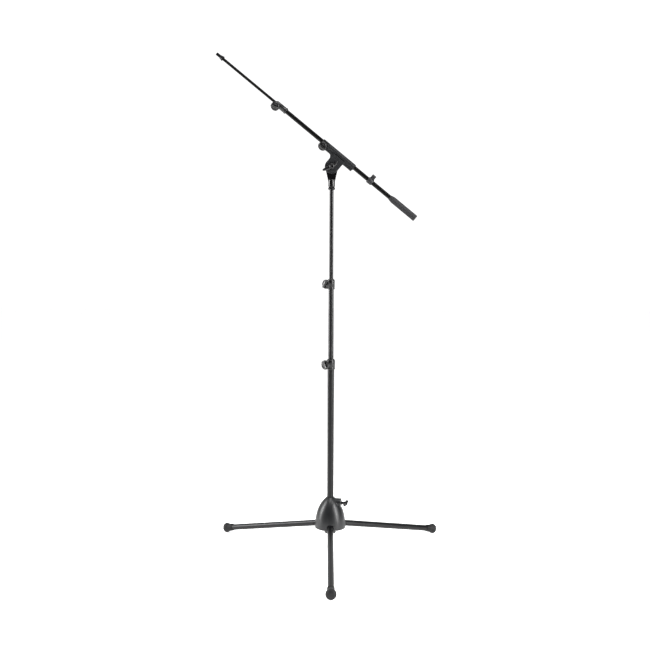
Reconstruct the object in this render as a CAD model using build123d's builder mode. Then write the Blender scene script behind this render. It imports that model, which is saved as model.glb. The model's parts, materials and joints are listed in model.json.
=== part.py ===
from build123d import *
import os
from math import cos, radians, sin

# Boom microphone stand. Millimetres, +Z up. The origin is on the column's axis at floor level.
# The front leg points along -Y, and the boom lies in the XZ plane with its thread towards -X.

# ---- driving dimensions ----
running_gap = 0.05  # radial clearance of a part that turns or slides in another
free_gap = 0.3  # clearance between moving parts that must not touch

foot_reach = 365.0  # column axis to the point where a foot touches the floor
leg_slope = 11.0  # degrees below level
leg_radius = 8.5
leg_wall = 1.2
foot_radius = 14.0
pivot_reach = 30.0  # column axis to a leg's hinge pin

lower_tube_radius = 9.5
lower_tube_wall = 1.2
middle_tube_radius = 7.5
middle_tube_wall = 1.1
top_rod_radius = 6.0
top_rod_wall = 1.6
boom_radius = 6.5
boom_wall = 1.0
extension_radius = 4.25
extension_wall = 1.0
thread_radius = 9.525 / 2  # 3/8 inch microphone thread

bell_rim_radius = 44.0
bell_rim_height = 70.0
bell_top_height = 155.5
bell_wall = 3.0

end_collar_bottom = 55.0
lower_collar_bottom = 519.5
upper_collar_bottom = 750.0
rod_top = 1040.0
tilt_height = 1107.6  # height of the boom's tilt axis
boom_offset = 40.0  # tilt axis to boom axis
boom_slope = 39.6  # degrees, tip up

knob_radius = 13.5
knob_neck_radius = 6.0
knob_neck_length = 4.2
knob_disc_thickness = 6.0
knob_rim_fillet = 1.6
knob_grip_height = 6.0
knob_grip_width = 8.0
stud_radius = 3.0
clamp_boss_radius = 6.5
clamp_boss_length = 4.0  # how far a clamp boss stands out of its collar

os.makedirs("parts", exist_ok=True)


# ---- frames ----
# Each frame has its x axis along a tube, so that an outline is drawn as (distance along, radius).
column = Plane(origin=(0, 0, 0), x_dir=(0, 0, 1), z_dir=(0, 1, 0))

tipward = Vector(-cos(radians(boom_slope)), 0, sin(radians(boom_slope)))
upward = Vector(sin(radians(boom_slope)), 0, cos(radians(boom_slope)))
tilt_axis_point = Vector(0, 0, tilt_height)
boom = Plane(origin=tilt_axis_point + upward * boom_offset, x_dir=tipward, z_dir=(0, 1, 0))

# Normal to the tilt axis and through it, facing the front.
tilt = Plane(origin=tilt_axis_point, x_dir=(1, 0, 0), z_dir=(0, -1, 0))

foot_centre_height = foot_radius * cos(radians(leg_slope))
leg_length = (foot_reach - pivot_reach) / cos(radians(leg_slope))
pivot_height = foot_centre_height + leg_length * sin(radians(leg_slope))


def outward_at(azimuth):
    return Vector(cos(radians(azimuth)), sin(radians(azimuth)), 0)


def leg_frame(azimuth):
    outward = outward_at(azimuth)
    down_the_leg = outward * cos(radians(leg_slope)) - Vector(0, 0, sin(radians(leg_slope)))
    return Plane(
        origin=outward * pivot_reach + Vector(0, 0, pivot_height),
        x_dir=down_the_leg,
        z_dir=outward.cross(Vector(0, 0, 1)),
    )


def across(frame, distance):
    """A plane square to the frame's x axis, some distance along it."""
    return Plane(
        origin=frame.from_local_coords((distance, 0, 0)), x_dir=-frame.z_dir, z_dir=frame.x_dir
    )


# ---- shared makers ----
def save(piece, name):
    piece.part.label = name
    export_step(piece.part, f"parts/{name}.step")


def turned(frame, outline):
    """A piece turned about the frame's x axis from (distance along, radius) points."""
    with BuildPart() as piece:
        with BuildSketch(frame):
            with BuildLine():
                Polyline(*outline, close=True)
            make_face()
        revolve(axis=Axis(frame.origin, frame.x_dir))
    return piece


def tube(frame, start, end, outer, inner):
    return turned(frame, [(start, inner), (start, outer), (end, outer), (end, inner)])


def clamp_collar(frame, seat, start, end, radius, tube_radius, tube_end, liner_bore, lip=0.0):
    """A collar fixed on a tube's end, holding a liner bush and a side boss for the clamp screw."""
    chamfer_size = 1.2
    lip_length = 5.0
    with BuildPart() as piece:
        with BuildSketch(frame):
            with BuildLine():
                Polyline(
                    (start, 0),
                    (start, radius + lip - chamfer_size),
                    (start + chamfer_size, radius + lip),
                    (start + lip_length, radius + lip),
                    (start + lip_length + chamfer_size, radius),
                    (end - chamfer_size, radius),
                    (end, radius - chamfer_size),
                    (end, 0),
                    close=True,
                )
            make_face()
        revolve(axis=Axis(frame.origin, frame.x_dir))
        with BuildSketch(seat):
            Circle(clamp_boss_radius)
        extrude(amount=radius + clamp_boss_length)
        with BuildSketch(across(frame, start)):
            Circle(tube_radius)
        extrude(amount=tube_end - start, mode=Mode.SUBTRACT)
        with BuildSketch(across(frame, tube_end)):
            Circle(liner_bore)
        extrude(amount=end - tube_end, mode=Mode.SUBTRACT)
        with BuildSketch(seat):
            Circle(stud_radius + running_gap)
        extrude(amount=radius + clamp_boss_length, mode=Mode.SUBTRACT)
    return piece


def liner(frame, start, end, bore, outer, lip_radius):
    """A bush with a lip that stands just outside its collar."""
    lip_length = 1.2
    return turned(
        frame,
        [
            (start, bore),
            (start, outer),
            (end + free_gap, outer),
            (end + free_gap, lip_radius),
            (end + free_gap + lip_length, lip_radius),
            (end + free_gap + lip_length, bore),
        ],
    )


def clamp_set(name, seat, liner_radius, face):
    """A clamp screw: pressure pad, steel stud and moulded knob, standing along the seat's normal."""
    pad_start = liner_radius + free_gap
    pad_length = 1.5
    stud_start = pad_start + pad_length + free_gap
    neck_start = face + free_gap
    disc_start = neck_start + knob_neck_length
    disc_end = disc_start + knob_disc_thickness
    stud_end = disc_end - 1.0

    with BuildPart() as pad:
        with BuildSketch(seat.offset(pad_start)):
            Circle(stud_radius)
        extrude(amount=pad_length)
    save(pad, f"{name}_clamp_pad")

    with BuildPart() as stud:
        with BuildSketch(seat.offset(stud_start)):
            Circle(stud_radius)
        extrude(amount=stud_end - stud_start)
        chamfer(stud.edges(), 0.4)
    save(stud, f"{name}_clamp_stud")

    with BuildPart() as knob:
        with BuildSketch(seat.offset(disc_start)):
            Circle(knob_radius)
        extrude(amount=knob_disc_thickness)
        fillet(knob.edges().filter_by(GeomType.CIRCLE), knob_rim_fillet)
        with BuildSketch(seat.offset(neck_start)):
            Circle(knob_neck_radius)
        extrude(amount=knob_neck_length)
        with BuildSketch(seat.offset(disc_end - 1.0)):
            SlotOverall(2 * (knob_radius - knob_rim_fillet), knob_grip_width)
        extrude(amount=knob_grip_height + 1.0)
        fillet(knob.faces().sort_by(Axis(seat.origin, seat.z_dir))[-1].edges(), 1.4)
        with BuildSketch(seat.offset(neck_start)):
            Circle(stud_radius)
        extrude(amount=stud_end - neck_start, mode=Mode.SUBTRACT)
    save(knob, f"{name}_clamp_knob")


# ---- clamp seats: origin on the tube's axis, normal along the screw, x axis along the grip bar ----
column_clamp_azimuth = -134.0
lower_clamp_height = lower_collar_bottom + 14.5
upper_clamp_height = upper_collar_bottom + 15.5
lower_seat = Plane(
    origin=(0, 0, lower_clamp_height), x_dir=(0.5, -0.3, -1), z_dir=outward_at(column_clamp_azimuth)
)
upper_seat = Plane(
    origin=(0, 0, upper_clamp_height), x_dir=(0.7, -0.7, 1.3), z_dir=outward_at(column_clamp_azimuth)
)


def boom_seat(distance, swing, bar_direction):
    """A seat on the boom's axis whose screw points to the front, swung down by some degrees."""
    normal = Vector(0, -cos(radians(swing)), 0) - upward * sin(radians(swing))
    return Plane(
        origin=boom.from_local_coords((distance, 0, 0)), x_dir=bar_direction, z_dir=normal
    )


head_seat = boom_seat(58.0, 38.0, -tipward)
extension_seat = boom_seat(239.0, 34.0, Vector(1, 0, -0.4))

# ================= column =================
tube_bottom = end_collar_bottom + 3.0
lower_tube_top = lower_collar_bottom + 7.5
lower_collar_top = lower_collar_bottom + 28.0
lower_bore = lower_tube_radius - lower_tube_wall
lower_tube = tube(column, tube_bottom, lower_tube_top, lower_tube_radius, lower_bore)
save(lower_tube, "lower_tube")

# The collar on the tube's foot wedges the legs' noses apart while the stand is open.
end_collar_radius = 17.0
end_collar_rim_height = 66.0
end_collar_top = 76.0
end_hole = 7.0
tube_end_collar = turned(
    column,
    [
        (end_collar_bottom, end_hole),
        (end_collar_bottom, end_collar_radius - 1.0),
        (end_collar_bottom + 1.0, end_collar_radius),
        (end_collar_rim_height, end_collar_radius),
        (end_collar_top, 11.5),
        (end_collar_top, lower_tube_radius),
        (tube_bottom, lower_tube_radius),
        (tube_bottom, end_hole),
    ],
)
save(tube_end_collar, "tube_end_collar")

tube_end_plug = turned(
    column,
    [
        (end_collar_bottom + 0.6, 0),
        (end_collar_bottom + 0.6, end_hole),
        (tube_bottom, end_hole),
        (tube_bottom, lower_bore),
        (tube_bottom + 9.0, lower_bore),
        (tube_bottom + 9.0, 0),
    ],
)
save(tube_end_plug, "tube_end_plug")

liner_wall = 0.8
lower_liner_radius = middle_tube_radius + running_gap + liner_wall
lower_collar_radius = 12.0
lower_collar = clamp_collar(
    column, lower_seat, lower_collar_bottom, lower_collar_top, lower_collar_radius,
    lower_tube_radius, lower_tube_top, lower_liner_radius + running_gap,
)
save(lower_collar, "lower_collar")
lower_liner = liner(
    column, lower_tube_top + free_gap, lower_collar_top,
    middle_tube_radius + running_gap, lower_liner_radius, 9.8,
)
save(lower_liner, "lower_liner")
clamp_set("lower", lower_seat, lower_liner_radius, lower_collar_radius + clamp_boss_length)

# ---- middle tube, guided at its foot by a bush that runs in the lower tube ----
middle_bottom = 330.0
middle_bore = middle_tube_radius - middle_tube_wall
middle_top = upper_collar_bottom + 8.0
upper_collar_top = upper_collar_bottom + 29.0
middle_tube = tube(column, middle_bottom, middle_top, middle_tube_radius, middle_bore)
save(middle_tube, "middle_tube")
middle_guide_bush = turned(
    column,
    [
        (middle_bottom - 3.0, middle_bore),
        (middle_bottom - 3.0, lower_bore - running_gap),
        (middle_bottom + 20.0, lower_bore - running_gap),
        (middle_bottom + 20.0, middle_tube_radius),
        (middle_bottom, middle_tube_radius),
        (middle_bottom, middle_bore),
    ],
)
save(middle_guide_bush, "middle_guide_bush")

upper_liner_radius = top_rod_radius + running_gap + liner_wall
upper_collar_radius = 10.4
upper_collar = clamp_collar(
    column, upper_seat, upper_collar_bottom, upper_collar_top, upper_collar_radius,
    middle_tube_radius, middle_top, upper_liner_radius + running_gap,
)
save(upper_collar, "upper_collar")
upper_liner = liner(
    column, middle_top + free_gap, upper_collar_top,
    top_rod_radius + running_gap, upper_liner_radius, 8.4,
)
save(upper_liner, "upper_liner")
clamp_set("upper", upper_seat, upper_liner_radius, upper_collar_radius + clamp_boss_length)

# ---- top rod, with a threaded stud in its top end ----
rod_bottom = 590.0
rod_bore = top_rod_radius - top_rod_wall
stem_bottom = rod_top + 9.0
top_rod = tube(column, rod_bottom, rod_top, top_rod_radius, rod_bore)
save(top_rod, "top_rod")
rod_guide_bush = turned(
    column,
    [
        (rod_bottom - 2.0, 0),
        (rod_bottom - 2.0, middle_bore - running_gap),
        (rod_bottom, middle_bore - running_gap),
        (rod_bottom, rod_bore),
        (rod_bottom + 14.0, rod_bore),
        (rod_bottom + 14.0, 0),
    ],
)
save(rod_guide_bush, "rod_guide_bush")
stud_top = stem_bottom + 16.0
rod_thread_stud = turned(
    column,
    [
        (rod_top - 16.0, 0),
        (rod_top - 16.0, rod_bore),
        (rod_top, rod_bore),
        (rod_top, thread_radius),
        (stud_top - 1.0, thread_radius),
        (stud_top, thread_radius - 1.0),
        (stud_top, 0),
    ],
)
save(rod_thread_stud, "rod_thread_stud")
stem_lock_nut = turned(
    column,
    [
        (rod_top + free_gap, thread_radius + running_gap),
        (rod_top + free_gap, 8.6),
        (rod_top + 1.5, 9.6),
        (rod_top + 5.0, 9.6),
        (stem_bottom - free_gap, 8.2),
        (stem_bottom - free_gap, thread_radius + running_gap),
    ],
)
save(stem_lock_nut, "stem_lock_nut")

# ================= tilting head =================
# The stem's disc stands behind the head's disc, with a friction washer between them.
stem_radius = 8.9
stem_shoulder = stem_bottom + 21.0
disc_radius = 19.0
# Distances in front of the tilt plane; those behind it are negative.
stem_face = -0.9
stem_back = -9.9
head_face = 0.6
head_front = 11.0
bolt_radius = 4.0
bolt_head_length = 5.3
bolt_tip = 20.0
with BuildPart() as head_stem:
    with BuildSketch(column):
        with BuildLine():
            Polyline(
                (stem_bottom, 0),
                (stem_bottom, stem_radius - 0.8),
                (stem_bottom + 0.8, stem_radius),
                (stem_shoulder - 4.0, stem_radius),
                (stem_shoulder, stem_radius - 2.5),
                (stem_shoulder, 0),
                close=True,
            )
        make_face()
    revolve(axis=Axis.Z)
    with BuildSketch(tilt.offset(stem_back)):
        Circle(disc_radius)
        with BuildLine():
            Polyline(
                (-stem_radius, stem_shoulder - 6.0 - tilt_height),
                (stem_radius, stem_shoulder - 6.0 - tilt_height),
                (15.0, -12.0),
                (-15.0, -12.0),
                close=True,
            )
        make_face()
    extrude(amount=stem_face - stem_back)
    with BuildSketch(Plane.XY.offset(stem_bottom)):
        Circle(thread_radius)
    extrude(amount=stud_top - stem_bottom, mode=Mode.SUBTRACT)
    with BuildSketch(tilt.offset(stem_back)):
        Circle(bolt_radius)
    extrude(amount=stem_face - stem_back, mode=Mode.SUBTRACT)
save(head_stem, "head_stem")

with BuildPart() as tilt_bolt:
    with BuildSketch(tilt.offset(stem_back - bolt_head_length)):
        RegularPolygon(7.5, 6)
    extrude(amount=bolt_head_length)
    with BuildSketch(tilt.offset(stem_back)):
        Circle(bolt_radius)
    extrude(amount=bolt_tip - stem_back)
save(tilt_bolt, "tilt_bolt")

with BuildPart() as friction_washer:
    with BuildSketch(tilt.offset(stem_face + free_gap)):
        Circle(disc_radius - 1.0)
        Circle(bolt_radius + running_gap, mode=Mode.SUBTRACT)
    extrude(amount=head_face - stem_face - free_gap)
save(friction_washer, "friction_washer")

# ---- head casting: a sleeve for the boom on a web that ends in the clutch disc ----
sleeve_front = 67.0
sleeve_rear = -51.0
sleeve_radius = 9.3
keel_depth = 14.5
keel_half_width = 6.5
web_half_length = 20.5
web_fillet = 13.0
slit_length = 28.0
slit_width = 5.0
slit_rise = 2.8  # above the boom's axis
boom_liner_radius = boom_radius + running_gap + 1.0
with BuildPart() as head_casting:
    with BuildSketch(across(boom, sleeve_rear)):
        Circle(sleeve_radius)
        with Locations((0, -keel_depth / 2)):
            Rectangle(2 * keel_half_width, keel_depth)
    extrude(amount=sleeve_front - sleeve_rear)
    fillet(head_casting.edges().filter_by(Axis(boom.origin, boom.x_dir)).group_by(
        Axis(boom.origin, boom.y_dir))[0], 3.0)
    with BuildSketch(boom.offset(-head_front)):
        with Locations((0, -boom_offset)):
            Circle(web_half_length)
        with Locations((0, -boom_offset / 2 - 3.0)):
            Rectangle(2 * web_half_length, boom_offset - 6.0)
        with BuildLine():
            Polyline(
                (web_half_length - 1.0, -keel_depth + 1.0),
                (web_half_length - 1.0, -keel_depth - web_fillet),
                (web_half_length, -keel_depth - web_fillet),
            )
            RadiusArc(
                (web_half_length, -keel_depth - web_fillet),
                (web_half_length + web_fillet, -keel_depth),
                web_fillet,
            )
            Polyline(
                (web_half_length + web_fillet, -keel_depth),
                (web_half_length + web_fillet, -keel_depth + 1.0),
                (web_half_length - 1.0, -keel_depth + 1.0),
            )
        make_face()
    extrude(amount=head_front - head_face)
    with BuildSketch(head_seat):
        Circle(clamp_boss_radius)
    extrude(amount=sleeve_radius + clamp_boss_length)
    with BuildSketch(across(boom, sleeve_rear)):
        Circle(boom_liner_radius + running_gap)
    extrude(amount=sleeve_front - sleeve_rear, mode=Mode.SUBTRACT)
    with BuildSketch(head_seat):
        Circle(stud_radius + running_gap)
    extrude(amount=sleeve_radius + clamp_boss_length, mode=Mode.SUBTRACT)
    with BuildSketch(boom.offset(-sleeve_radius)):
        with Locations((sleeve_front - 8.0, slit_rise)):
            SlotOverall(slit_length, slit_width)
    extrude(amount=sleeve_radius - 3.0, mode=Mode.SUBTRACT)
    with BuildSketch(tilt.offset(head_face)):
        Circle(bolt_radius + running_gap)
    extrude(amount=head_front - head_face, mode=Mode.SUBTRACT)
save(head_casting, "head_casting")

boom_liner_lip = 1.2
boom_liner = turned(
    boom,
    [
        (sleeve_rear - free_gap - boom_liner_lip, boom_radius + running_gap),
        (sleeve_rear - free_gap - boom_liner_lip, 8.9),
        (sleeve_rear - free_gap, 8.9),
        (sleeve_rear - free_gap, boom_liner_radius),
        (sleeve_front + free_gap, boom_liner_radius),
        (sleeve_front + free_gap, 8.9),
        (sleeve_front + free_gap + boom_liner_lip, 8.9),
        (sleeve_front + free_gap + boom_liner_lip, boom_radius + running_gap),
    ],
)
save(boom_liner, "boom_liner")
clamp_set("head", head_seat, boom_liner_radius, sleeve_radius + clamp_boss_length)

# ---- wing nut of the tilt clamp: a moulding with two curved wings over a steel nut ----
wing_back = head_front + 0.4
wing_hub_length = 13.0
wing_start = wing_back + 4.0
nut_length = 7.0
nut_corner_radius = 6.6
wing_root_radius = 8.0
wing_thickness = 6.5
wing_tips = ((205.0, 27.5, 2.2), (38.0, 20.0, 2.6))  # direction in degrees, reach, tip radius
with BuildPart() as tilt_wing:
    with BuildSketch(tilt.offset(wing_back)):
        Circle(9.4)
    extrude(amount=wing_hub_length, taper=6.0)
    for direction, reach, tip_radius in wing_tips:
        tip_place = (reach * cos(radians(direction)), reach * sin(radians(direction)))
        with BuildSketch(tilt.offset(wing_start)):
            with BuildLine():
                CenterArc((0, 0), wing_root_radius, 0, 360)
                CenterArc(tip_place, tip_radius, 0, 360)
            make_hull()
        extrude(amount=wing_thickness)
    with BuildSketch(tilt.offset(wing_back)):
        RegularPolygon(nut_corner_radius, 6)
    extrude(amount=nut_length, mode=Mode.SUBTRACT)
    with BuildSketch(tilt.offset(wing_back)):
        Circle(bolt_radius + free_gap)
    extrude(amount=bolt_tip - wing_back + free_gap, mode=Mode.SUBTRACT)
save(tilt_wing, "tilt_wing")
with BuildPart() as wing_nut_insert:
    with BuildSketch(tilt.offset(wing_back)):
        RegularPolygon(nut_corner_radius, 6)
        Circle(bolt_radius + running_gap, mode=Mode.SUBTRACT)
    extrude(amount=nut_length)
save(wing_nut_insert, "wing_nut_insert")

# ================= boom =================
boom_bore = boom_radius - boom_wall
boom_rear = -279.0
extension_collar_rear = 206.0
extension_collar_front = 246.0
boom_front = 226.0
extension_liner_radius = extension_radius + running_gap + 1.0
extension_collar_radius = 8.6
boom_tube = tube(boom, boom_rear, boom_front, boom_radius, boom_bore)
save(boom_tube, "boom_tube")
extension_collar = clamp_collar(
    boom, extension_seat, extension_collar_rear, extension_collar_front, extension_collar_radius,
    boom_radius, boom_front, extension_liner_radius + running_gap, lip=0.8,
)
save(extension_collar, "extension_collar")
extension_liner = liner(
    boom, boom_front + free_gap, extension_collar_front,
    extension_radius + running_gap, extension_liner_radius, 6.8,
)
save(extension_liner, "extension_liner")
clamp_set(
    "extension", extension_seat, extension_liner_radius, extension_collar_radius + clamp_boss_length
)

# ---- counterweight: a steel slug on the boom's rear end, under a rubber grip ----
weight_front = -197.0
weight_radius = 9.0
grip_front = -187.5
grip_rear = -284.0
grip_radius = 10.25
counterweight_slug = tube(boom, boom_rear, weight_front, weight_radius, boom_radius)
save(counterweight_slug, "counterweight_slug")
plug_flange = 2.0
boom_end_plug = turned(
    boom,
    [
        (boom_rear - plug_flange, 0),
        (boom_rear - plug_flange, weight_radius),
        (boom_rear, weight_radius),
        (boom_rear, boom_bore),
        (boom_rear + 12.0, boom_bore),
        (boom_rear + 12.0, 0),
    ],
)
save(boom_end_plug, "boom_end_plug")
counterweight_grip = turned(
    boom,
    [
        (grip_front, boom_radius),
        (grip_front, 7.6),
        (grip_front - 11.0, grip_radius),
        (grip_rear + 1.0, grip_radius),
        (grip_rear, grip_radius - 1.0),
        (grip_rear, 0),
        (boom_rear - plug_flange, 0),
        (boom_rear - plug_flange, weight_radius),
        (weight_front, weight_radius),
        (weight_front, boom_radius),
    ],
)
save(counterweight_grip, "counterweight_grip")

# ---- cable clip: a split ring on the boom that carries an open hook for the cable ----
clip_centre = -113.0
clip_length = 17.0
clip_radius = 9.6
clip_gap = 9.0
hook_length = 13.0
hook_height = 15.4
hook_radius = 5.8
cable_radius = 4.2
cable_gap = 7.0
with BuildPart() as cable_clip:
    with BuildSketch(across(boom, clip_centre - clip_length / 2)):
        Circle(clip_radius)
    extrude(amount=clip_length)
    fillet(cable_clip.edges().filter_by(GeomType.CIRCLE), 2.0)
    with BuildSketch(across(boom, clip_centre - hook_length / 2)):
        with Locations((0, hook_height)):
            Circle(hook_radius)
        with Locations((0, 9.0)):
            Rectangle(8.0, 6.0)
    extrude(amount=hook_length)
    with BuildSketch(across(boom, clip_centre - clip_length / 2)):
        Circle(boom_radius + running_gap)
        with Locations((-clip_radius, 0)):
            Rectangle(2 * clip_radius, clip_gap)
    extrude(amount=clip_length, mode=Mode.SUBTRACT)
    with BuildSketch(across(boom, clip_centre - clip_length / 2)):
        with Locations((0, hook_height)):
            Circle(cable_radius)
        with Locations((-hook_radius, hook_height + 0.6)):
            Rectangle(2 * hook_radius, cable_gap)
    extrude(amount=clip_length, mode=Mode.SUBTRACT)
save(cable_clip, "cable_clip")

# ---- extension rod with its threaded tip ----
extension_rear = 89.0
extension_front = 446.0
extension_bore = extension_radius - extension_wall
thread_tip = 474.0
nut_rear = extension_front + 2.5
nut_front = nut_rear + 11.0
tip_shank_radius = 4.0  # plain under the lock nut, so the thread's own wall starts clear of it
extension_rod = tube(boom, extension_rear, extension_front, extension_radius, extension_bore)
save(extension_rod, "extension_rod")
extension_guide_ring = turned(
    boom,
    [
        (extension_rear - 2.0, 0),
        (extension_rear - 2.0, boom_bore - running_gap),
        (extension_rear, boom_bore - running_gap),
        (extension_rear, extension_bore),
        (extension_rear + 10.0, extension_bore),
        (extension_rear + 10.0, 0),
    ],
)
save(extension_guide_ring, "extension_guide_ring")
thread_stub = turned(
    boom,
    [
        (extension_front - 16.0, 0),
        (extension_front - 16.0, extension_bore),
        (extension_front, extension_bore),
        (extension_front, tip_shank_radius),
        (nut_front + 1.0, tip_shank_radius),
        (nut_front + 1.0, thread_radius),
        (thread_tip - 1.0, thread_radius),
        (thread_tip, thread_radius - 1.0),
        (thread_tip, 0),
    ],
)
save(thread_stub, "thread_stub")
tip_lock_nut = turned(
    boom,
    [
        (nut_rear, tip_shank_radius + running_gap),
        (nut_rear, 7.3),
        (nut_rear + 0.6, 7.9),
        (nut_rear + 3.0, 7.9),
        (nut_rear + 4.2, 7.0),
        (nut_front, 5.9),
        (nut_front, tip_shank_radius + running_gap),
    ],
)
save(tip_lock_nut, "tip_lock_nut")

# ================= base =================
# ---- bell: a domed shell around a guide for the lower tube, slotted for the legs ----
leg_azimuths = {"front": -90.0, "right": 30.0, "left": 150.0}
bell_widest_height = 75.0
bell_side_radius = 135.0  # the outline is two arcs, a side and a tighter shoulder
bell_side_angle = 17.7
bell_shoulder_radius = 85.0
bell_shoulder_angle = 30.8
neck_radius = 12.0
neck_bottom = 112.0
hub_clamp_azimuth = -12.0
hub_clamp_height = 140.0
hub_boss_radius = 13.0
hub_boss_reach = 32.0
leg_slot_half_width = leg_radius + 0.5
leg_slot_top = 9.5  # above the leg's axis, measured square to it
leg_slot_height = 50.0
ear_thickness = 3.2
ear_length = 28.0
ear_height = 30.0
ear_centre = (35.0, 88.0)  # reach from the column's axis and height
hinge_pin_radius = 2.5
hub_seat = Plane(
    origin=(0, 0, hub_clamp_height), x_dir=(0, 0, 1), z_dir=outward_at(hub_clamp_azimuth)
)


def bell_form(inset):
    """The bell's outer form, or the same form shrunk by a wall's thickness."""
    side_centre = Vector(bell_rim_radius - bell_side_radius, bell_widest_height)
    to_shoulder = Vector(cos(radians(bell_side_angle)), sin(radians(bell_side_angle)))
    shoulder_centre = side_centre + to_shoulder * (bell_side_radius - bell_shoulder_radius)
    with BuildPart() as form:
        with BuildSketch(Plane.XZ):
            with BuildLine():
                side = CenterArc(side_centre, bell_side_radius - inset, 0, bell_side_angle)
                shoulder = CenterArc(
                    shoulder_centre, bell_shoulder_radius - inset, bell_side_angle, bell_shoulder_angle
                )
                Polyline(
                    shoulder @ 1, (0, (shoulder @ 1).Y), (0, bell_rim_height),
                    ((side @ 0).X, bell_rim_height), side @ 0,
                )
            make_face()
        revolve(axis=Axis.Z)
    return form.part


with BuildPart() as leg_ears:
    for azimuth in leg_azimuths.values():
        ear_place = outward_at(azimuth) * ear_centre[0] + Vector(0, 0, ear_centre[1])
        with Locations(Location(ear_place, (0, 0, azimuth))):
            Box(ear_length, 2 * (leg_slot_half_width + ear_thickness), ear_height)
            Box(ear_length, 2 * leg_slot_half_width, ear_height, mode=Mode.SUBTRACT)
    add(bell_form(0.5 * bell_wall), mode=Mode.INTERSECT)

with BuildPart() as bell_housing:
    add(bell_form(0.0))
    add(bell_form(bell_wall), mode=Mode.SUBTRACT)
    for azimuth in leg_azimuths.values():
        with BuildSketch(across(leg_frame(azimuth), 0.0)):
            with Locations((0, leg_slot_top - leg_slot_height / 2)):
                RectangleRounded(2 * leg_slot_half_width, leg_slot_height, leg_radius)
        extrude(amount=bell_rim_radius, mode=Mode.SUBTRACT)
    with BuildSketch(Plane.XY.offset(neck_bottom)):
        Circle(neck_radius)
    extrude(amount=bell_top_height - neck_bottom)
    with BuildSketch(hub_seat):
        Circle(hub_boss_radius)
    extrude(amount=hub_boss_reach)
    add(leg_ears.part)
    with BuildSketch(Plane.XY.offset(neck_bottom)):
        Circle(lower_tube_radius + running_gap)
    extrude(amount=bell_top_height - neck_bottom, mode=Mode.SUBTRACT)
    with BuildSketch(hub_seat):
        Circle(bolt_radius + running_gap)
    extrude(amount=hub_boss_reach, mode=Mode.SUBTRACT)
    for azimuth in leg_azimuths.values():
        with BuildSketch(leg_frame(azimuth)):
            Circle(hinge_pin_radius)
        extrude(amount=leg_slot_half_width + ear_thickness, both=True, mode=Mode.SUBTRACT)
save(bell_housing, "bell_housing")

with BuildPart() as leg_hinge_pins:
    for azimuth in leg_azimuths.values():
        with BuildSketch(leg_frame(azimuth)):
            Circle(hinge_pin_radius)
        extrude(amount=leg_slot_half_width + ear_thickness, both=True)
save(leg_hinge_pins, "leg_hinge_pins")

# ---- hub clamp: pad, screw with a cross hole, and a sliding bar with ball tips ----
screw_head_start = 40.5
screw_head_end = 50.5
cross_bar_reach = 0.5 * (screw_head_start + screw_head_end)
cross_bar_radius = 2.4
cross_bar_half_length = 17.0
ball_radius = 4.5
hub_pad_start = lower_tube_radius + free_gap + 0.1
with BuildPart() as hub_clamp_pad:
    with BuildSketch(hub_seat.offset(hub_pad_start)):
        Circle(bolt_radius)
    extrude(amount=1.6)
save(hub_clamp_pad, "hub_clamp_pad")
cross_bar_plane = Plane(
    origin=hub_seat.from_local_coords((0, 0, cross_bar_reach)),
    x_dir=hub_seat.x_dir,
    z_dir=hub_seat.y_dir,
)
with BuildPart() as hub_clamp_screw:
    with BuildSketch(hub_seat.offset(hub_pad_start + 2.0)):
        Circle(bolt_radius)
    extrude(amount=screw_head_start - hub_pad_start - 2.0)
    with BuildSketch(hub_seat.offset(screw_head_start)):
        Circle(5.0)
    extrude(amount=screw_head_end - screw_head_start)
    fillet(hub_clamp_screw.edges().filter_by(GeomType.CIRCLE).sort_by(
        Axis(hub_seat.origin, hub_seat.z_dir))[-1], 1.2)
    with BuildSketch(cross_bar_plane):
        Circle(cross_bar_radius)
    extrude(amount=8.0, both=True, mode=Mode.SUBTRACT)
save(hub_clamp_screw, "hub_clamp_screw")
with BuildPart() as hub_clamp_bar:
    with BuildSketch(cross_bar_plane):
        Circle(cross_bar_radius)
    extrude(amount=cross_bar_half_length, both=True)
save(hub_clamp_bar, "hub_clamp_bar")
with BuildPart() as hub_clamp_ball_tips:
    for end in (-1, 1):
        with Locations(cross_bar_plane.from_local_coords((0, 0, end * (cross_bar_half_length + 1.5)))):
            Sphere(ball_radius)
    with BuildSketch(cross_bar_plane):
        Circle(cross_bar_radius)
    extrude(amount=cross_bar_half_length, both=True, mode=Mode.SUBTRACT)
save(hub_clamp_ball_tips, "hub_clamp_ball_tips")

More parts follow.
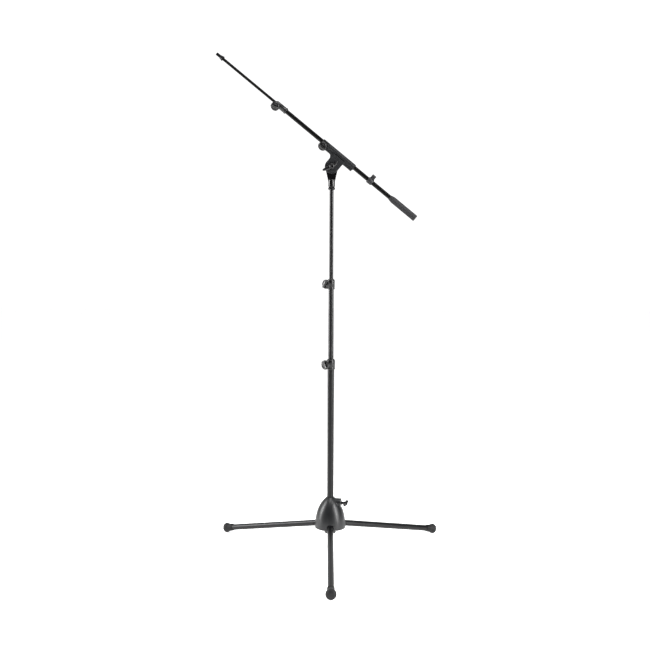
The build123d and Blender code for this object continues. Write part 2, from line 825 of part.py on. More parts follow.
# ---- legs: a cast root with the hinge eye and a nose, a tube and a rubber foot ----
leg_tube_start = 14.0
leg_tube_end = leg_length - 9.0
leg_bore = leg_radius - leg_wall
hinge_eye_radius = 8.0
root_half_width = leg_radius
root_spigot_length = 26.0
nose_offset = (-11.8, -8.1)  # outward and up from the hinge pin
nose_radius = 3.0
for name, azimuth in leg_azimuths.items():
    frame = leg_frame(azimuth)
    level = Plane(origin=frame.origin, x_dir=outward_at(azimuth), z_dir=frame.z_dir)
    with BuildPart() as leg_root:
        with BuildSketch(level):
            with BuildLine():
                CenterArc((0, 0), hinge_eye_radius, 0, 360)
                CenterArc(nose_offset, nose_radius, 0, 360)
            make_hull()
        extrude(amount=root_half_width, both=True)
        with BuildSketch(across(frame, 0.0)):
            Circle(leg_radius)
        extrude(amount=leg_tube_start)
        with BuildSketch(across(frame, leg_tube_start)):
            Circle(leg_bore)
        extrude(amount=root_spigot_length)
        with BuildSketch(frame):
            Circle(hinge_pin_radius + running_gap)
        extrude(amount=root_half_width, both=True, mode=Mode.SUBTRACT)
    save(leg_root, f"{name}_leg_root")

    leg_tube = tube(frame, leg_tube_start, leg_tube_end, leg_radius, leg_bore)
    save(leg_tube, f"{name}_leg_tube")

    foot = turned(
        frame,
        [
            (leg_length - 25.0, leg_radius),
            (leg_length - 25.0, 10.2),
            (leg_length - 12.0, 11.2),
            (leg_length - 4.0, foot_radius),
            (leg_length, foot_radius),
            (leg_length + 4.5, 12.6),
            (leg_length + 7.0, 8.5),
            (leg_length + 7.8, 0),
            (leg_tube_end, 0),
            (leg_tube_end, leg_radius),
        ],
    )
    save(foot, f"{name}_foot")
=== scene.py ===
import json
import math
import bpy
from mathutils import Matrix, Vector


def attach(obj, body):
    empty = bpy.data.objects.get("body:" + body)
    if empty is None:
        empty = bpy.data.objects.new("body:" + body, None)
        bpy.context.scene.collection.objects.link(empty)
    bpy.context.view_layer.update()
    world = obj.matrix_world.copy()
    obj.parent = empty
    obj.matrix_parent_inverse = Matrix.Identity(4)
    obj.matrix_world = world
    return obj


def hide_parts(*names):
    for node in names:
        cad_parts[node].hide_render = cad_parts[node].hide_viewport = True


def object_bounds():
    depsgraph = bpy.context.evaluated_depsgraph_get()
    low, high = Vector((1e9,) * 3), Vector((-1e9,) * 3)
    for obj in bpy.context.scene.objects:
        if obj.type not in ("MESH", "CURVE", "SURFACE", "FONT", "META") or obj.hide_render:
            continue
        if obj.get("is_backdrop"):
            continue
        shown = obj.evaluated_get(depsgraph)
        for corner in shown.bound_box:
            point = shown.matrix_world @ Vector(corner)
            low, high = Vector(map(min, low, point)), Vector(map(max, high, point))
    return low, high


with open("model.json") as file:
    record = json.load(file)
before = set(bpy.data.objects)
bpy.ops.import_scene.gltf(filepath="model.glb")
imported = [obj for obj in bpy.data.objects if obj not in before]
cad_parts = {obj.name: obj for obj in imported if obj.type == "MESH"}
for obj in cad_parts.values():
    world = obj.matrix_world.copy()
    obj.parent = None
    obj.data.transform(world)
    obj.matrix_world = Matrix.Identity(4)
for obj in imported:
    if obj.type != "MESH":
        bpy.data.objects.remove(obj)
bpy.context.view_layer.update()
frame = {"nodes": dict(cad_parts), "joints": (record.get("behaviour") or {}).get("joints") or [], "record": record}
joints = {joint["name"]: joint for joint in frame["joints"]}
mm = 0.001
print("frame loaded")


# working frames
# Each frame is a matrix whose local z runs along the piece: it is modelled upright, then placed.
def frameAt(origin, along, side):
    z = Vector(along).normalized()
    x = Vector(side)
    x = (x - z * x.dot(z)).normalized()
    matrix = Matrix((x, z.cross(x), z)).transposed().to_4x4()
    matrix.translation = Vector(origin)
    return matrix


boomAlong = Vector(joints["extension_slide"]["axis"])
boomUp = Vector((boomAlong.z, 0, -boomAlong.x))
tiltPoint = Vector(joints["head_tilt"]["pos_m"])
boomOffset = 40  # mm from the tilt's axis to the boom's
# boomFrame: local x up, y to the back, z to the tip; tiltFrame: local z to the front, x to the right, y up
boomFrame = frameAt(tiltPoint + boomUp * boomOffset * mm, boomAlong, boomUp)
tiltFrame = frameAt(tiltPoint, (0, -1, 0), (1, 0, 0))
columnFrame = Matrix.Identity(4)
legSides = {"front": -90, "right": 30, "left": 150}  # degrees round the column
legLength = 341.27
legSlope = math.radians(11)


def legFrame(side):
    outward = Vector((math.cos(math.radians(legSides[side])), math.sin(math.radians(legSides[side])), 0))
    downLeg = outward * math.cos(legSlope) - Vector((0, 0, math.sin(legSlope)))
    return frameAt(joints[side + "_leg_fold"]["pos_m"], downLeg, (0, 0, 1))


# modelling helpers
def deselectAll():
    if bpy.context.object and bpy.context.object.mode != "OBJECT":
        bpy.ops.object.mode_set(mode="OBJECT")
    bpy.ops.object.select_all(action="DESELECT")


def pick(piece):
    deselectAll()
    piece.select_set(True)
    bpy.context.view_layer.objects.active = piece


def turn(name, outline, segments=96, hollow=False):
    # an outline of (height, radius) in millimetres, drawn up ring by ring from a circle
    deselectAll()
    height, radius = outline[0]
    bpy.ops.mesh.primitive_circle_add(vertices=segments, radius=radius * mm, location=(0, 0, height * mm))
    piece = bpy.context.object
    piece.name = name
    bpy.ops.object.transform_apply(location=True, rotation=True, scale=True)
    bpy.ops.object.mode_set(mode="EDIT")
    bpy.ops.mesh.select_mode(type="VERT")
    bpy.ops.mesh.select_all(action="SELECT")
    for nextHeight, nextRadius in outline[1:] + outline[:1] * hollow:
        step = (0, 0, (nextHeight - height) * mm)
        bpy.ops.mesh.extrude_region_move(TRANSFORM_OT_translate={"value": step})
        if nextRadius != radius:
            factor = nextRadius / radius
            bpy.ops.transform.resize(value=(factor, factor, 1), center_override=(0, 0, nextHeight * mm))
        height, radius = nextHeight, nextRadius
    bpy.ops.mesh.select_all(action="SELECT")
    if hollow:
        bpy.ops.mesh.remove_doubles(threshold=1e-6)
    else:
        bpy.ops.mesh.fill_holes(sides=0)
    bpy.ops.mesh.select_all(action="SELECT")
    bpy.ops.mesh.normals_make_consistent(inside=False)
    bpy.ops.object.mode_set(mode="OBJECT")
    return piece


def block(name, size, centre, turnBy=0.0):
    # a box of a size and centre in millimetres, turned about its own z axis
    deselectAll()
    bpy.ops.mesh.primitive_cube_add(size=1, location=[c * mm for c in centre], rotation=(0, 0, turnBy))
    piece = bpy.context.object
    piece.name = name
    piece.scale = [s * mm for s in size]
    bpy.ops.object.transform_apply(location=True, rotation=True, scale=True)
    return piece


def place(piece, matrix):
    pick(piece)
    piece.matrix_world = matrix
    bpy.ops.object.transform_apply(location=True, rotation=True, scale=True)
    return piece


def selectFaces(piece, test):
    # selects the faces whose centre and normal pass the test, and leaves the piece in edit mode
    pick(piece)
    for face in piece.data.polygons:
        face.select = test(face.center, face.normal)
    for edge in piece.data.edges:
        edge.select = False
    for point in piece.data.vertices:
        point.select = False
    for face in piece.data.polygons:
        if face.select:
            for index in face.vertices:
                piece.data.vertices[index].select = True
    bpy.ops.object.mode_set(mode="EDIT")
    bpy.ops.mesh.select_mode(type="FACE")


def applyModifier(piece, kind, **settings):
    pick(piece)
    modifier = piece.modifiers.new(kind.lower(), kind)
    for key, value in settings.items():
        setattr(modifier, key, value)
    bpy.ops.object.modifier_apply(modifier=modifier.name)
    return piece


def combine(piece, other, operation="UNION"):
    applyModifier(piece, "BOOLEAN", object=other, operation=operation, solver="EXACT")
    bpy.data.objects.remove(other)
    return piece


def softenEdges(piece, width, segments=3, angle=32):
    applyModifier(piece, "BEVEL", width=width * mm, segments=segments, limit_method="ANGLE",
                  angle_limit=math.radians(angle), use_clamp_overlap=True)
    return shade(piece)


def shade(piece, angle=38):
    pick(piece)
    bpy.ops.object.shade_smooth_by_angle(angle=math.radians(angle))
    return piece


def castSkin(piece, voxel, passes):
    # runs the joints of a casting together with small fillets
    applyModifier(piece, "REMESH", mode="VOXEL", voxel_size=voxel * mm, adaptivity=0)
    applyModifier(piece, "SMOOTH", factor=0.5, iterations=passes)
    pick(piece)
    bpy.ops.object.shade_smooth()
    return piece


def fit(piece, body, material, slot, *nodes):
    piece.data.materials.clear()
    piece.data.materials.append(material)
    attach(piece, body)
    if nodes:
        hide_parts(*nodes)
    return piece


# materials
def colour(code):
    # an sRGB hex colour made linear
    parts = [int(code[i:i + 2], 16) / 255 for i in (1, 3, 5)]
    return [p / 12.92 if p <= 0.04045 else ((p + 0.055) / 1.055) ** 2.4 for p in parts] + [1.0]


def addNode(material, kind, settings=None, links=None):
    node = material.node_tree.nodes.new(kind)
    for key, value in (settings or {}).items():
        if isinstance(key, int) or key in node.inputs:
            node.inputs[key].default_value = value
        else:
            setattr(node, key, value)
    for key, source in (links or {}).items():
        material.node_tree.links.new(source, node.inputs[key])
    return node


def startMaterial(name):
    material = bpy.data.materials.new(name)
    material.use_nodes = True
    coords = addNode(material, "ShaderNodeTexCoord").outputs["Object"]
    return material, material.node_tree.nodes["Principled BSDF"], coords


def setShader(shader, settings):
    for key, value in settings.items():
        shader.inputs[key].default_value = value


def spread(material, source, low, high):
    # maps a 0 to 1 pattern to a range of values
    return addNode(material, "ShaderNodeMapRange", {"To Min": low, "To Max": high},
                   {"Value": source}).outputs["Result"]


def mixColours(material, factor, first, second):
    node = addNode(material, "ShaderNodeMix", {"data_type": "RGBA"})
    node.inputs[6].default_value = colour(first)
    node.inputs[7].default_value = colour(second)
    material.node_tree.links.new(factor, node.inputs[0])
    return node.outputs[2]


def noise(material, coords, size, detail=2.0, roughness=0.5):
    # a cloudy pattern whose features are about a size in millimetres
    return addNode(material, "ShaderNodeTexNoise",
                   {"Scale": 1 / (size * mm), "Detail": detail, "Roughness": roughness},
                   {"Vector": coords}).outputs["Fac"]


def coat(material, shader, tint, rough, height, strength, depth):
    # joins a colour, a roughness and a relief, its depth in millimetres, to the shader
    bump = addNode(material, "ShaderNodeBump", {"Strength": strength, "Distance": depth * mm},
                   {"Height": height})
    links = material.node_tree.links
    links.new(tint, shader.inputs["Base Color"])
    links.new(rough, shader.inputs["Roughness"])
    links.new(bump.outputs["Normal"], shader.inputs["Normal"])


def powderCoat(name, base, worn, rough, pebbleSize, pebbleDepth, shine, gloss=0.0):
    # Powder coat: sprayed and baked, so it lies as a skin of fine pebbles that spreads the highlight.
    material, shader, coords = startMaterial(name)
    pebble = noise(material, coords, pebbleSize, 3.0, 0.55)
    cloud = noise(material, coords, 38, 4.0, 0.6)
    coat(material, shader, mixColours(material, cloud, base, worn),
         spread(material, cloud, rough - 0.07, rough + 0.07), pebble, 0.3, pebbleDepth)
    setShader(shader, {"Specular IOR Level": shine, "Coat Weight": gloss, "Coat Roughness": 0.18})
    return material


def slidingTube(name, base, worn, rough, shine, turned=None):
    # Coated steel tube that slides in a bush: rub lines run along it, drawn coarser than real ones.
    material, shader, coords = startMaterial(name)
    lay = coords
    if turned is not None:
        lay = addNode(material, "ShaderNodeMapping", {"Rotation": turned},
                      {"Vector": coords}).outputs["Vector"]
    rubWidth, rubLength = 0.9 * mm, 90 * mm
    along = addNode(material, "ShaderNodeMapping", {"Scale": (1 / rubWidth, 1 / rubWidth, 1 / rubLength)},
                    {"Vector": lay})
    rubs = addNode(material, "ShaderNodeTexNoise", {"Scale": 1.0, "Detail": 4.0, "Roughness": 0.65},
                   {"Vector": along.outputs["Vector"]}).outputs["Fac"]
    sharp = addNode(material, "ShaderNodeMapRange", {"From Min": 0.55, "From Max": 0.8}, {"Value": rubs})
    coat(material, shader, mixColours(material, sharp.outputs["Result"], base, worn),
         spread(material, rubs, rough - 0.06, rough + 0.06), noise(material, coords, 2.2), 0.12, 0.015)
    setShader(shader, {"Specular IOR Level": shine})
    return material


def mouldedPlastic(name, base, worn, rough, grain, grainDepth, shine, gloss=0.0):
    # Glass-filled nylon: the mould gives it a fine grain, and handling polishes it in patches.
    material, shader, coords = startMaterial(name)
    spark = addNode(material, "ShaderNodeTexVoronoi", {"Scale": 1 / (grain * mm)}, {"Vector": coords})
    handled = noise(material, coords, 9, 5.0, 0.6)
    coat(material, shader, mixColours(material, handled, base, worn),
         spread(material, handled, rough - 0.06, rough + 0.08), spark.outputs["Distance"], 0.35, grainDepth)
    setShader(shader, {"Specular IOR Level": shine, "Coat Weight": gloss, "Coat Roughness": 0.1})
    return material


def mouldedRubber(name, base, dusty, rough):
    # Vulcanised rubber: dull and slightly open-grained, with a pale dust bloom in its hollows.
    material, shader, coords = startMaterial(name)
    grain = noise(material, coords, 0.7, 4.0, 0.7)
    bloom = noise(material, coords, 14, 5.0)
    coat(material, shader, mixColours(material, bloom, base, dusty),
         spread(material, grain, rough - 0.1, rough + 0.1), grain, 0.6, 0.04)
    setShader(shader, {"Specular IOR Level": 0.28, "Sheen Weight": 0.03, "Sheen Roughness": 0.5})
    return material


def machinedSteel(name, base, dark, rough, metal=1.0):
    # Turned steel, plated bright or blackened: tool marks break up the light, drawn coarser than real.
    material, shader, coords = startMaterial(name)
    marks = noise(material, coords, 0.35, 3.0, 0.7)
    stain = noise(material, coords, 6, 5.0)
    coat(material, shader, mixColours(material, stain, base, dark),
         spread(material, marks, rough - 0.08, rough + 0.1), marks, 0.25, 0.03)
    setShader(shader, {"Metallic": metal})
    return material


finishes = {
    "black_coated_steel": powderCoat("BlackPowderCoat", "#050506", "#0b0b0c", 0.32, 1.4, 0.018, 0.26),
    "grey_cast_metal": powderCoat("HeadCastPowderCoat", "#0f1012", "#17181a", 0.5, 0.8, 0.045, 0.26),
    "bell_cast_metal": powderCoat("BellCastPowderCoat", "#0b0c0d", "#121315", 0.36, 1.0, 0.03, 0.42),
    "black_plastic": mouldedPlastic("BlackNylon", "#060607", "#0d0d0e", 0.3, 0.8, 0.015, 0.36, gloss=0.12),
    "bush_plastic": mouldedPlastic("BushAcetal", "#0c0c0d", "#141415", 0.5, 1.1, 0.03, 0.35),
    "bright_steel": machinedSteel("NickelPlatedSteel", "#c9c6bf", "#8f8c86", 0.26),
    "black_steel": machinedSteel("BlackenedSteel", "#1c1c1e", "#0f0f11", 0.36, metal=0.85),
    "foot_rubber": mouldedRubber("FootRubber", "#0a0a0b", "#151516", 0.6),
    "grip_rubber": mouldedRubber("GripRubber", "#141416", "#1e1e20", 0.66),
    "grey_plastic": mouldedPlastic("GreyNylon", "#161618", "#202022", 0.5, 1.0, 0.03, 0.3),
}
stemCoat = powderCoat("GlossStemCoat", "#020203", "#060607", 0.16, 1.8, 0.01, 0.5)
boomTurn = (0, math.radians(90) - math.acos(-boomAlong.x) - math.pi, 0)
columnTube = slidingTube("RubbedColumnTube", "#040405", "#101012", 0.28, 0.32)
# the boom's tube is the column's tube finish made darker and less reflective: painted shade for the dark
# reflections the boom shows
shadedBoomTube = slidingTube("RubbedBoomTubePaintedShade", "#020202", "#08080a", 0.3, 0.13, turned=boomTurn)
print("materials made")

# every imported node starts with the finish of its slot, and the tubes get theirs with rub lines; the boom's is
# made darker and duller as painted shade
for part in frame["record"]["subparts"]:
    node = frame["nodes"][part["node"]]
    finish = finishes[part["material_slot"]]
    if part["node"] in ("middle_tube", "top_rod"):
        finish = columnTube
    if part["node"] in ("boom_tube", "extension_rod"):
        finish = shadedBoomTube
    for holder in node.material_slots:
        holder.material = finish

# camera, floor and light
cameraAt = {"place": (-0.0188, -2.564, 0.821), "downBy": -2.572, "rollBy": 0.264, "lens": 48.78,
            "rise": -0.1532}
bpy.ops.object.camera_add(location=cameraAt["place"])
camera = bpy.context.object
camera.rotation_euler = (Matrix.Rotation(math.radians(90 - cameraAt["downBy"]), 4, "X")
                         @ Matrix.Rotation(math.radians(cameraAt["rollBy"]), 4, "Z")).to_euler()
camera.data.lens = cameraAt["lens"]
camera.data.sensor_width = 36
camera.data.shift_y = cameraAt["rise"]
bpy.context.scene.camera = camera

studio = {"floorHalf": 14.0, "floorTone": "#f4f4f4", "floorGlow": 0.7, "worldBack": 1.15,
          "worldFront": 0.1, "aim": (0, 0, 0.75)}
deselectAll()
bpy.ops.mesh.primitive_plane_add(size=2 * studio["floorHalf"], location=(0, 0, -0.0005))
floor = bpy.context.object
floor.name = "studioFloor"
floorPaint, floorShader, _ = startMaterial("PaleFloorPaint")
setShader(floorShader, {"Base Color": colour(studio["floorTone"]), "Roughness": 0.8,
                        "Emission Color": (1, 1, 1, 1), "Emission Strength": studio["floorGlow"]})
floor.data.materials.append(floorPaint)
floor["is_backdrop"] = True

world = bpy.data.worlds.new("studioLight")
bpy.context.scene.world = world
world.use_nodes = True
background = world.node_tree.nodes["Background"]
heading = addNode(world, "ShaderNodeTexCoord").outputs["Generated"]
backward = addNode(world, "ShaderNodeSeparateXYZ", None, {"Vector": heading}).outputs["Y"]
level = addNode(world, "ShaderNodeMapRange",
                {"From Min": 0.3, "From Max": 0.8, "To Min": studio["worldFront"],
                 "To Max": studio["worldBack"]}, {"Value": backward})
world.node_tree.links.new(level.outputs["Result"], background.inputs["Strength"])
background.inputs["Color"].default_value = (1, 1, 1, 1)
bpy.context.scene.view_settings.view_transform = "Standard"

softboxes = {
    "rightBox": {"place": (1.7, -1.1, 1.3), "size": (0.5, 2.2), "power": 90},
    "leftBox": {"place": (-1.9, -0.1, 1.2), "size": (0.5, 2.0), "power": 70},
    "topBox": {"place": (0.1, -0.6, 3.0), "size": (1.6, 1.2), "power": 40},
}
for name, box in softboxes.items():
    deselectAll()
    bpy.ops.object.light_add(type="AREA", location=box["place"])
    lamp = bpy.context.object
    lamp.name = name
    lamp.data.shape = "RECTANGLE"
    lamp.data.size, lamp.data.size_y = box["size"]
    lamp.data.energy = box["power"]
    lamp.rotation_euler = (Vector(studio["aim"]) - Vector(box["place"])).to_track_quat("-Z", "Y").to_euler()
print("camera and light set")

# clamp knobs
knob = {
    "neck": 6.0, "radius": 13.5, "rimFrom": 4.2, "rimTo": 10.2,
    "bar": (24.0, 7.4, 7.2), "barTo": 16.2,
    "seats": {  # distance from the tube's axis to the knob's back, and the direction of its bar
        "lower": ("lower_knob_turn", "lower_knob", 16.3, (0.5, -0.3, -1)),
        "upper": ("upper_knob_turn", "upper_knob", 14.7, (0.7, -0.7, 1.3)),
        "head": ("boom_knob_turn", "boom_knob", 13.6, tuple(-boomAlong)),
        "extension": ("extension_knob_turn", "extension_knob", 12.9, (1, 0, -0.4)),
    },
}


def makeKnob():
    low, high, edge = knob["rimFrom"], knob["rimTo"], knob["radius"]
    disc = turn("knobMaster", [
        (0, 5.4), (0.5, knob["neck"]), (low - 0.8, knob["neck"]), (low, 7.0), (low + 0.1, edge - 1.6),
        (low + 0.5, edge - 0.7), (low + 1.2, edge - 0.15), (low + 2.0, edge), (high - 2.0, edge),
        (high - 1.1, edge - 0.2), (high - 0.4, edge - 0.8), (high, edge - 1.8), (high - 0.25, edge - 2.6),
        (high - 0.7, edge - 3.4), (high - 0.9, edge - 5.0), (high - 0.9, 4.0)], segments=96)
    length, width, height = knob["bar"]
    top = knob["barTo"]
    bar = block("knobBar", knob["bar"], (0, 0, top - height / 2))
    selectFaces(bar, lambda centre, normal: normal.z > 0.9)  # the top draws in along and across
    bpy.ops.transform.resize(value=(0.93, 0.62, 1), center_override=(0, 0, top * mm))
    bpy.ops.mesh.inset(thickness=1.1 * mm)
    bpy.ops.transform.translate(value=(0, 0, 0.35 * mm))
    bpy.ops.object.mode_set(mode="OBJECT")
    applyModifier(bar, "BEVEL", width=1.1 * mm, segments=4, limit_method="ANGLE",
                  angle_limit=math.radians(35))
    combine(disc, bar)
    return softenEdges(disc, 0.35, segments=2, angle=48)


knobMaster = makeKnob()
for name, (joint, body, back, bar) in knob["seats"].items():
    piece = knobMaster.copy()
    piece.data = knobMaster.data.copy()
    piece.name = name + "KnobMoulding"
    bpy.context.scene.collection.objects.link(piece)
    axis = Vector(joints[joint]["axis"])
    place(piece, frameAt(Vector(joints[joint]["pos_m"]) + axis * back * mm, axis, bar))
    fit(piece, body, finishes["black_plastic"], "black_plastic", name + "_clamp_knob")
bpy.data.objects.remove(knobMaster)
print("knobs made")

# clamp collars
collars = {
    "lower": {"from": 519.5, "to": 547.5, "radius": 12.0, "bore": 9.5, "mouth": 8.4, "rear": 0.0,
              "joint": "lower_knob_turn", "frame": columnFrame, "body": "column"},
    "upper": {"from": 750.0, "to": 779.0, "radius": 10.4, "bore": 7.5, "mouth": 6.9, "rear": 0.0,
              "joint": "upper_knob_turn", "frame": columnFrame, "body": "middle"},
    "extension": {"from": 206.0, "to": 246.0, "radius": 8.6, "bore": 6.5, "mouth": 5.35, "rear": 0.8,
                  "joint": "extension_knob_turn", "frame": boomFrame, "body": "boom"},
}
for name, spec in collars.items():
    low, high, edge, rear = spec["from"], spec["to"], spec["radius"], spec["rear"]
    collar = turn(name + "CollarMoulding", [
        (low, spec["bore"]), (low, edge + rear - 1.1), (low + 0.4, edge + rear - 0.4),
        (low + 1.1, edge + rear), (low + 4.4, edge + rear), (low + 5.1, edge + rear - 0.15),
        (low + 5.6, edge - 0.35), (low + 6.6, edge - 0.35), (low + 7.1, edge), (high - 2.6, edge),
        (high - 1.2, edge - 0.35), (high - 0.3, edge - 1.1), (high, edge - 1.9), (high, spec["mouth"])],
        segments=128, hollow=True)
    seatAlong = spec["frame"].inverted().to_3x3() @ Vector(joints[spec["joint"]]["axis"])
    seatAt = spec["frame"].inverted() @ Vector(joints[spec["joint"]]["pos_m"])
    boss = turn("collarBoss", [(edge - 2.5, 6.8), (edge + 1.0, 6.8), (edge + 2.6, 6.5), (edge + 3.6, 6.3),
                               (edge + 4.0, 5.8)], segments=64)
    place(boss, frameAt(seatAt, seatAlong, (0, 0, 1)))
    combine(collar, boss)
    softenEdges(collar, 0.5, segments=3, angle=40)
    place(collar, spec["frame"])
    fit(collar, spec["body"], finishes["black_plastic"], "black_plastic", name + "_collar")
print("collars made")

# head casting
head = {"sleeve": 9.3, "front": 67.0, "rear": -51.0, "keel": 14.5, "keelHalf": 6.5, "disc": 20.5,
        "faceBack": -0.6, "faceFront": -11.0, "gusset": 13.0}
casting = turn("headSleeveCasting", [
    (head["rear"], 8.2), (head["rear"] + 0.9, head["sleeve"]), (head["front"] - 0.9, head["sleeve"]),
    (head["front"], 8.2)], segments=96)
length = head["front"] - head["rear"]
middle = (head["front"] + head["rear"]) / 2
keel = block("keel", (head["keel"], 2 * head["keelHalf"], length), (-head["keel"] / 2, 0, middle))
combine(casting, keel)
thick = head["faceBack"] - head["faceFront"]
plateAt = (head["faceBack"] + head["faceFront"]) / 2
web = block("web", (31.0, thick, 2 * head["disc"]), (-22.5, plateAt, 0))
combine(casting, web)
disc = turn("clutchDisc", [(-head["faceBack"], head["disc"]), (-head["faceFront"], head["disc"])],
            segments=128)
clutchFrame = frameAt((-boomOffset * mm, 0, 0), (0, -1, 0), (1, 0, 0))
place(disc, clutchFrame)
combine(casting, disc)
gusset = block("gusset", (head["gusset"] + 2, thick, head["gusset"] + 2),
               (-head["keel"] - head["gusset"] / 2 + 1, plateAt, head["disc"] + head["gusset"] / 2 - 1))
hollow = turn("gussetHollow", [(-20, head["gusset"]), (20, head["gusset"])], segments=96)
place(hollow, frameAt(((-head["keel"] - head["gusset"]) * mm, 0, (head["disc"] + head["gusset"]) * mm),
                      (0, 1, 0), (1, 0, 0)))
combine(gusset, hollow, "DIFFERENCE")
combine(casting, gusset)
seatAlong = boomFrame.inverted().to_3x3() @ Vector(joints["boom_knob_turn"]["axis"])
seatAt = boomFrame.inverted() @ Vector(joints["boom_knob_turn"]["pos_m"])
boss = turn("clampBoss", [(3, 7.2), (11.5, 6.8), (13.3, 6.2)], segments=64)
place(boss, frameAt(seatAt, seatAlong, (0, 0, 1)))
combine(casting, boss)
castSkin(casting, 0.55, 5)
bore = turn("sleeveBore", [(head["rear"] - 2, 7.62), (head["front"] + 2, 7.62)], segments=96)
combine(casting, bore, "DIFFERENCE")
slit = block("slit", (4.6, 9.0, 24.0), (2.8, -8.0, head["front"] - 10.0))
softenEdges(slit, 1.6)
combine(casting, slit, "DIFFERENCE")
boltHole = turn("boltHole", [(-2, 4.2), (14, 4.2)], segments=48)
place(boltHole, clutchFrame)
combine(casting, boltHole, "DIFFERENCE")
shade(casting, 42)
place(casting, boomFrame)
fit(casting, "head", finishes["grey_cast_metal"], "grey_cast_metal", "head_casting")
print("head casting made")

# stem under the head
stem = {"bottom": 1049.0, "shoulder": 1070.0, "radius": 9.9, "disc": 19.0, "back": -9.9, "face": -0.9}
stemPiece = turn("stemCasting", [
    (stem["bottom"], stem["radius"] - 0.9), (stem["bottom"] + 0.8, stem["radius"]),
    (stem["shoulder"] - 6, stem["radius"]), (stem["shoulder"] - 1, stem["radius"] - 0.9),
    (stem["shoulder"] + 4, 5.4)], segments=96)
neck = block("stemNeck", (2 * stem["radius"], 9.0, 34.0), (0, 5.4, 1081.0))
selectFaces(neck, lambda centre, normal: normal.z > 0.9)
bpy.ops.transform.resize(value=(1.75, 1, 1), center_override=(0, 5.4 * mm, 1.098))
bpy.ops.object.mode_set(mode="OBJECT")
combine(stemPiece, neck)
backDisc = turn("backDisc", [(stem["back"], stem["disc"] - 1), (stem["back"] + 1, stem["disc"]),
                             (stem["face"], stem["disc"])], segments=128)
place(backDisc, tiltFrame)
combine(stemPiece, backDisc)
castSkin(stemPiece, 0.55, 5)
fit(stemPiece, "rod", stemCoat, "grey_cast_metal", "head_stem")

bolt = turn("tiltBoltHead", [(-15.2, 6.6), (-14.6, 7.5), (-10.3, 7.5), (-9.9, 7.2)], segments=6)
shank = turn("boltShank", [(-10.5, 4.0), (19.0, 4.0), (20.0, 3.2)], segments=48)
combine(bolt, shank)
softenEdges(bolt, 0.35)
place(bolt, tiltFrame)
fit(bolt, "rod", finishes["black_steel"], "black_steel", "tilt_bolt")
print("stem and tilt bolt made")

# wing nut of the tilt
wing = {"hub": 9.2, "from": 11.4, "to": 24.2, "blades": ((205, 30.5), (38, 21.5))}


def makeWing():
    hub = turn("wingNutMoulding", [
        (wing["from"], 8.6), (wing["from"] + 0.6, wing["hub"]), (wing["from"] + 5, wing["hub"]),
        (wing["to"] - 3, wing["hub"] - 1.4), (wing["to"] - 1, wing["hub"] - 2.3), (wing["to"], 5.2)],
        segments=96)
    for direction, reach in wing["blades"]:
        blade = block("wingBlade", (10.0, 13.0, 7.5), (5.0, 0, wing["from"] + 6.2))
        for narrow, forward in ((0.95, 0.4), (0.74, 1.6), (0.5, 2.6)):
            selectFaces(blade, lambda centre, normal: normal.x > 0.75)
            bpy.ops.mesh.extrude_region_move(
                TRANSFORM_OT_translate={"value": ((reach - 10.0) / 3 * mm, 0, forward * mm)})
            bpy.ops.transform.resize(value=(1, narrow, 0.86))
            bpy.ops.object.mode_set(mode="OBJECT")
        applyModifier(blade, "SUBSURF", levels=3, render_levels=3)
        place(blade, Matrix.Rotation(math.radians(direction), 4, "Z"))
        combine(hub, blade)
    dish = turn("wingDish", [(wing["to"] - 3.2, 3.4), (wing["to"] - 2.0, 4.6), (wing["to"] + 2, 5.6)],
                segments=64)
    combine(hub, dish, "DIFFERENCE")
    return castSkin(hub, 0.42, 6)


wingPiece = makeWing()
place(wingPiece, tiltFrame)
fit(wingPiece, "wing", finishes["black_plastic"], "black_plastic", "tilt_wing")
print("wing nut made")

# lock nuts
lockNuts = {
    "stem": {"frame": columnFrame, "body": "stem_nut", "node": "stem_lock_nut", "hole": 4.82,
             "outline": [(1040.3, 9.2), (1040.9, 9.9), (1041.6, 10.8), (1045.0, 10.8), (1045.8, 10.2),
                         (1048.7, 8.9)],
             "grip": (1041.0, 1045.4)},
    "tip": {"frame": boomFrame, "body": "tip_nut", "node": "tip_lock_nut", "hole": 4.08,
            "outline": [(448.5, 7.2), (449.1, 7.9), (451.5, 7.9), (452.1, 7.4), (453.2, 6.9), (458.8, 5.9),
                        (459.5, 5.5)],
            "grip": (448.8, 451.8)},
}
for name, nut in lockNuts.items():
    bottom, top = nut["outline"][0][0], nut["outline"][-1][0]
    piece = turn(name + "LockNutTurning", [(bottom, nut["hole"])] + nut["outline"] + [(top, nut["hole"])],
                 segments=144, hollow=True)
    low, high = nut["grip"]
    pick(piece)
    for point in piece.data.vertices:  # every third line of the rim is pressed in as a knurl
        radius = math.hypot(point.co.x, point.co.y)
        line = round(math.atan2(point.co.y, point.co.x) / (2 * math.pi) * 144)
        point.select = low * mm < point.co.z < high * mm and radius > 6.5 * mm and line % 3 == 0
    bpy.ops.object.mode_set(mode="EDIT")
    bpy.ops.transform.resize(value=(0.94, 0.94, 1), center_override=(0, 0, 0))
    bpy.ops.object.mode_set(mode="OBJECT")
    shade(piece, 30)
    place(piece, nut["frame"])
    fit(piece, nut["body"], finishes["black_steel"], "black_steel", nut["node"])


# threads
thread = {"major": 4.7625, "depth": 0.86, "pitch": 1.5875}


